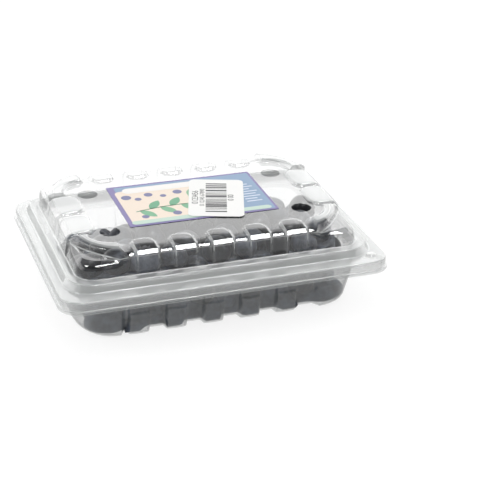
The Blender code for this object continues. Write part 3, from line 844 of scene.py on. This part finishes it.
deselect()
bpy.ops.mesh.primitive_uv_sphere_add(segments=320, ring_count=48, radius=1.0)
shade_core = bpy.context.object
shade_core.name = shade_core.data.name = "painted_shade_core"
for vertex in shade_core.data.vertices:
    x, y, z = vertex.co
    rise = 1.0 - math.acos(max(-1.0, min(1.0, z))) / math.pi      # 0 at the bottom pole, 1 at the top pole
    angle = math.atan2(y, x)
    size = (abs(math.cos(angle)) ** 8 + abs(math.sin(angle)) ** 8) ** -0.125
    across, up = math.cos(angle) * size, math.sin(angle) * size
    share = min(rise / 0.12, 1.0, (1.0 - rise) / 0.3)
    rim = under_berries(53 * across, 35 * up)
    height = 1.0 + (rim - 1.0) * min(max((rise - 0.12) / 0.58, 0.0), 1.0)
    margin = 0.5 + 3.6 * ease((height - 3.0) / 6.0)
    a, b = (float(np.interp(height, SPACE[:, 0], SPACE[:, k])) for k in (1, 2))
    at_corner = ease((abs(across * up) - 0.7) / 0.1)
    out = (3.7 * rib_bulge(across * a, up * b) + 3.2 * at_corner + 0.6) * ease((11.0 - height) / 6.0) - margin
    x, y = share * across * (a + out), share * up * (b + out)
    height = under_berries(x, y) if rise > 0.7 else height
    vertex.co = Vector((BODY_X + x, BODY_Y + y, height)) * MM
bpy.ops.object.shade_smooth()
# the painted shade core wears the berries' skin, with a fixed amount of bloom
bloom = shade_core.data.attributes.new("bloom", "FLOAT", "POINT")
bloom.data.foreach_set("value", [0.40] * len(shade_core.data.vertices))
shade_core.data.materials.append(skin)
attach(shade_core, "tray")

# %% [markdown]
# ## Print
#
# The label is glossy printed film on the lid's flat top.  The print is made as very thin
# layers of ink, one for each colour, so that every field has a crisp edge at any distance.
# Its layout is a plain one: coloured fields, discs and leaf shapes, with no words.

# %% Ink and paper
def ink(name, code, roughness, grain):
    """Printed film or paper: flat colour, broken slightly by the press."""
    made, tree, out = new_material(name)
    place = add_node(tree, "ShaderNodeTexCoord").outputs["Object"]
    dots = add_node(tree, "ShaderNodeTexNoise", {"Vector": place, "Scale": 1 / (0.6 * MM), "Detail": 2.0}).outputs[0]
    base = colour(code)
    dark = tuple(c * (1.0 - grain) for c in base[:3]) + (1.0,)
    tint = add_node(tree, "ShaderNodeMix", {"Factor": dots, "A": base, "B": dark}, data_type="RGBA").outputs["Result"]
    paint = add_node(tree, "ShaderNodeBsdfPrincipled", {"Base Color": tint, "Roughness": roughness})
    tree.links.new(paint.outputs[0], out.inputs["Surface"])
    return made


FILM_Z, INK = 37.28, 0.02


def layer(name, points, base, thickness, material):
    """A thin flat layer with the outline given by points, riding on the lid."""
    deselect()
    bpy.ops.mesh.primitive_circle_add(vertices=len(points), radius=1.0, fill_type="NGON")
    made = bpy.context.object
    made.name = made.data.name = name
    for vertex, (x, y) in zip(made.data.vertices, points):
        vertex.co = Vector((x, y, base)) * MM
    bpy.ops.object.mode_set(mode="EDIT")
    bpy.ops.mesh.select_all(action="SELECT")
    bpy.ops.mesh.extrude_region_move(TRANSFORM_OT_translate={"value": (0.0, 0.0, thickness * MM)})
    bpy.ops.mesh.select_all(action="SELECT")
    bpy.ops.mesh.normals_make_consistent(inside=False)
    bpy.ops.object.mode_set(mode="OBJECT")
    made.data.materials.append(material)
    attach(made, "lid")
    return made


def box_outline(centre, size, radius=1.0, turn=0.0, steps=5):
    """Rounded rectangle, turned about its centre."""
    points = []
    for quarter, (sx, sy) in enumerate(((1, 1), (-1, 1), (-1, -1), (1, -1))):
        for step in range(steps + 1):
            angle = math.pi / 2 * (quarter + step / steps)
            points.append((sx * (size[0] / 2 - radius) + radius * math.cos(angle),
                           sy * (size[1] / 2 - radius) + radius * math.sin(angle)))
    c, s = math.cos(turn), math.sin(turn)
    return [(centre[0] + c * x - s * y, centre[1] + s * x + c * y) for x, y in points]


# %% Fields of the label
low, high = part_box("label")
lx, ly = (low.x + high.x) / 2 / MM, (low.y + high.y) / 2 / MM
violet = ink("violet_ink_on_film", "#7a6fa6", 0.35, 0.08)
film = layer("label_film", box_outline((lx, ly), (65.6, 41.2), 0.5), FILM_Z, 0.12, violet)
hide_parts("label")


def field(name, code, points, deck):
    """One field of the label's print, on the given deck of ink."""
    return layer(name, points, FILM_Z + 0.12 + INK * (deck - 1), INK, ink(name + "_ink", code, 0.35, 0.06))


field("blue_field", "#7f9bbb", box_outline((lx + 1.0, ly), (61.6, 38.6), 0.8), 1)
field("cream_field", "#ecdccb", box_outline((lx - 12.5, ly - 1.6), (36.6, 33.0), 2.4), 2)
field("green_field", "#86b38d", box_outline((lx + 5.4, ly - 3.4), (12.0, 27.0), 5.0), 3)
field("pale_band", "#bfd6c8", box_outline((lx - 0.4, ly - 17.4), (61.6, 3.4), 1.7), 4)


# %% Leaves and dots of the label
def leaf_outline(centre, length, width, turn, steps=10):
    """Pointed oval."""
    points = []
    for side in (1, -1):
        for step in range(steps):
            t = step / steps if side == 1 else 1.0 - step / steps
            points.append((length * (t - 0.5), side * width / 2 * math.sin(math.pi * t) ** 0.8))
    c, s = math.cos(turn), math.sin(turn)
    return [(centre[0] + c * x - s * y, centre[1] + s * x + c * y) for x, y in points]


def disc_outline(centre, radius, steps=32):
    return [(centre[0] + radius * math.cos(2 * math.pi * k / steps),
             centre[1] + radius * math.sin(2 * math.pi * k / steps)) for k in range(steps)]


def sprig():
    """A bowed stem with a row of leaves along each side."""
    stem = [(-14.0 + 28.0 * t, -3.0 + 7.0 * t - 5.0 * t * t) for t in (k / 12 for k in range(13))]
    band = [(x, y + 0.35) for x, y in stem] + [(x, y - 0.35) for x, y in reversed(stem)]
    field("stem", "#4e8a66", [(lx - 12.5 + x, ly - 4.0 + y) for x, y in band], 3)
    for index, (x, y) in enumerate(stem[1:12:2]):
        side = 1 if index % 2 else -1
        place = (lx - 12.5 + x + 2.2, ly - 4.0 + y + side * 3.4)
        code = "#58a17a" if side == 1 else "#6fae86"
        field(f"leaf_{index}", code, leaf_outline(place, 9.5, 4.2, side * 0.95), 3)


sprig()
for index, (dx, dy, size) in enumerate(((-27.0, 8.0, 2.2), (-22.4, 5.2, 1.5), (-17.0, 8.6, 1.9), (-11.0, 6.0, 1.4),
                                        (-24.0, -12.6, 1.6), (-10.0, -12.4, 1.9), (-4.0, 8.2, 2.0))):
    field(f"dot_{index}", "#6a6d98", disc_outline((lx + dx, ly + dy), size), 4)
field("white_plaque", "#efece8", box_outline((lx - 10.0, ly + 14.6), (34.0, 5.4), 2.6), 4)
for index in range(8):
    width = (6.0, 7.5, 5.2, 8.0, 6.6, 7.8, 5.6, 7.0)[index]
    field(f"pale_line_{index}", "#d2dcea", box_outline((lx + 22.0 + width / 2, ly + 7.6 - 2.5 * index), (width, 0.8), 0.3), 2)

# %% [markdown]
# ## Price sticker
#
# White coated paper with rounded corners, stuck on askew.  Its bars run across it at plain
# varied widths, with a row of plain numbers along each side.

# %% Sticker
STICKER_Z, STICKER_TURN = 37.56, math.radians(-18.0)
low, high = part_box("sticker")
sticker_middle = ((low.x + high.x) / 2 / MM, (low.y + high.y) / 2 / MM)
paper = ink("coated_sticker_paper", "#eeeeec", 0.45, 0.02)
black = ink("black_thermal_ink", "#4a4a4c", 0.6, 0.3)
sticker = layer("sticker_paper", box_outline(sticker_middle, (23.8, 38.2), 2.6, STICKER_TURN, 8), STICKER_Z, 0.12,
                paper)
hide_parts("sticker")


def on_sticker(x, y):
    """Place of a point given in the sticker's own axes."""
    c, s = math.cos(STICKER_TURN), math.sin(STICKER_TURN)
    return sticker_middle[0] + c * x - s * y, sticker_middle[1] + s * x + c * y


def bars():
    """Plain bars, one under another, each as wide as the field."""
    chance = np.random.default_rng(5)
    made, y = [], -14.9
    while y < 14.4:
        thick = (0.35, 0.7, 1.05, 1.4)[int(chance.integers(0, 4))]
        made.append(layer("bar", box_outline(on_sticker(0.0, y + thick / 2), (9.1, thick), 0.05, STICKER_TURN, 1),
                          STICKER_Z + 0.12, INK, black))
        y += thick + (0.35, 0.7, 1.05)[int(chance.integers(0, 3))]
    choose(*made)
    bpy.ops.object.join()
    bpy.context.object.name = bpy.context.object.data.name = "sticker_bars"
    return bpy.context.object


def digits(text, x, size):
    """Plain numbers that run along the bars' row."""
    deselect()
    bpy.ops.object.text_add()
    made = bpy.context.object
    made.data.body = text
    made.data.align_x = made.data.align_y = "CENTER"
    made.data.size = size * MM
    made.data.extrude = INK * MM / 2
    bpy.ops.object.convert(target="MESH")
    cx, cy = on_sticker(x, 0.0)
    made.location = Vector((cx, cy, STICKER_Z + 0.12 + INK / 2)) * MM
    made.rotation_euler = (0.0, 0.0, STICKER_TURN + math.pi / 2)
    bpy.ops.object.transform_apply(location=True, rotation=True, scale=True)
    made.data.materials.clear()
    made.data.materials.append(black)
    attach(made, "lid")
    return made


sticker_bars = bars()
digits("0123456", -9.0, 3.9).name = "sticker_numbers_left"
digits("0 12345 67890", -6.0, 2.9).name = "sticker_numbers_middle"
digits("0 00", 6.4, 3.6).name = "sticker_numbers_right"

# %% [markdown]
# ## Size of the visual model
#
# The box round the visual model is printed, in millimetres. The visual model has to stay
# inside the CAD model's box.

# %% Sizes and finish
low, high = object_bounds()
print("visual box in mm:", [round(v * 1000, 1) for v in (*low, *high)])
